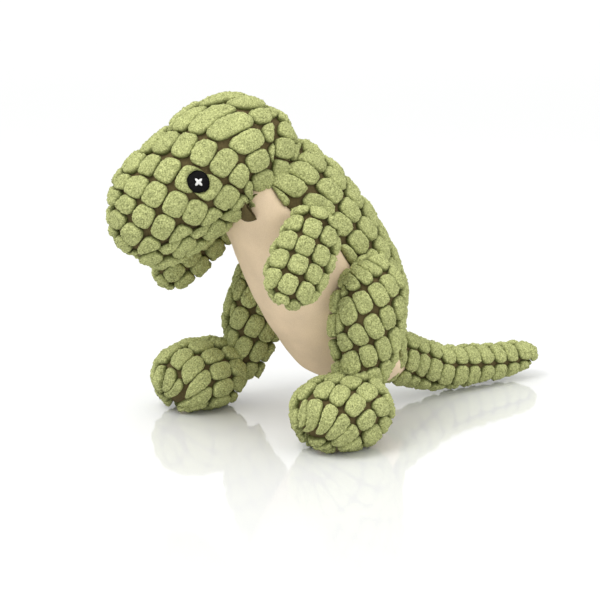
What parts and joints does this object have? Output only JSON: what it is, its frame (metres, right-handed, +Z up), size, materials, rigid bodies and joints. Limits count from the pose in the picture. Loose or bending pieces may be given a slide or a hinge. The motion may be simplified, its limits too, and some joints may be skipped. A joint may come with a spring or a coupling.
{
  "type": "stuffed dinosaur toy",
  "caption": "Padded plush dinosaur standing on two rounded feet and a tail, with a drooping head, flat arms, a smooth belly panel and square-tufted pile cloth.",
  "frame": {"origin": "on the floor, under the middle of the bounding box", "axes": "the toy faces -Y, its left side is +X and +Z is up"},
  "size_m": [0.1786, 0.3144, 0.2075],
  "materials": {
    "green_pile_plush": "squared polyester pile on a brown backing cloth",
    "tan_plush": "short smooth nap",
    "fibre_filling": "loose polyester fibre",
    "eye_thread": "satin-stitch embroidery thread",
    "eye_glint_thread": "satin-stitch embroidery thread",
    "squeaker_plastic": "thin moulded polyethylene"
  },
  "bodies": {
    "torso": {"torso_skin_left": "green_pile_plush", "torso_skin_right": "green_pile_plush", "belly_panel": "tan_plush", "torso_stuffing": "fibre_filling", "squeaker_bulb": "squeaker_plastic", "squeaker_valve": "squeaker_plastic"},
    "head": {"head_skin_left": "green_pile_plush", "head_skin_right": "green_pile_plush", "chin_panel": "green_pile_plush", "head_stuffing": "fibre_filling", "eye_left": "eye_thread", "eye_right": "eye_thread", "eye_glint_left": "eye_glint_thread", "eye_glint_right": "eye_glint_thread"},
    "tail": {"tail_skin_left": "green_pile_plush", "tail_skin_right": "green_pile_plush", "tail_stuffing": "fibre_filling"},
    "arm_left": {"arm_left_outer": "green_pile_plush", "arm_left_inner": "green_pile_plush", "arm_left_stuffing": "fibre_filling"},
    "leg_left": {"leg_left_outer": "green_pile_plush", "leg_left_inner": "green_pile_plush", "foot_left_upper": "green_pile_plush", "sole_left": "tan_plush", "leg_left_stuffing": "fibre_filling", "foot_left_stuffing": "fibre_filling"},
    "arm_right": {"arm_right_outer": "green_pile_plush", "arm_right_inner": "green_pile_plush", "arm_right_stuffing": "fibre_filling"},
    "leg_right": {"leg_right_outer": "green_pile_plush", "leg_right_inner": "green_pile_plush", "foot_right_upper": "green_pile_plush", "sole_right": "tan_plush", "leg_right_stuffing": "fibre_filling", "foot_right_stuffing": "fibre_filling"}
  },
  "joints": [
    {"name": "neck_nod", "type": "hinge", "parent": "torso", "child": "head", "pos_m": [-0.00067, -0.06429, 0.16], "axis": [-0.9397, 0.342, 0], "range_deg": [0, 25], "stiffness_Nm_per_rad": 0.6},
    {"name": "tail_wag", "type": "hinge", "parent": "torso", "child": "tail", "pos_m": [-0.00067, 0.02871, 0.032], "axis": [0, 0, 1], "range_deg": [-25, 25], "stiffness_Nm_per_rad": 0.3},
    {"name": "shoulder_left_swing", "type": "hinge", "parent": "torso", "child": "arm_left", "pos_m": [0.03933, -0.05129, 0.134], "axis": [-1, 0, 0], "range_deg": [-12, 58], "stiffness_Nm_per_rad": 0.15},
    {"name": "shoulder_right_swing", "type": "hinge", "parent": "torso", "child": "arm_right", "pos_m": [-0.04067, -0.05129, 0.134], "axis": [-1, 0, 0], "range_deg": [-12, 0], "stiffness_Nm_per_rad": 0.15},
    {"name": "hip_left_swing", "type": "hinge", "parent": "torso", "child": "leg_left", "pos_m": [0.03933, -0.01729, 0.084], "axis": [-1, 0, 0], "range_deg": [-20, 20], "stiffness_Nm_per_rad": 1.2},
    {"name": "hip_right_swing", "type": "hinge", "parent": "torso", "child": "leg_right", "pos_m": [-0.04067, -0.01729, 0.084], "axis": [-1, 0, 0], "range_deg": [-20, 20], "stiffness_Nm_per_rad": 1.2}
  ]
}
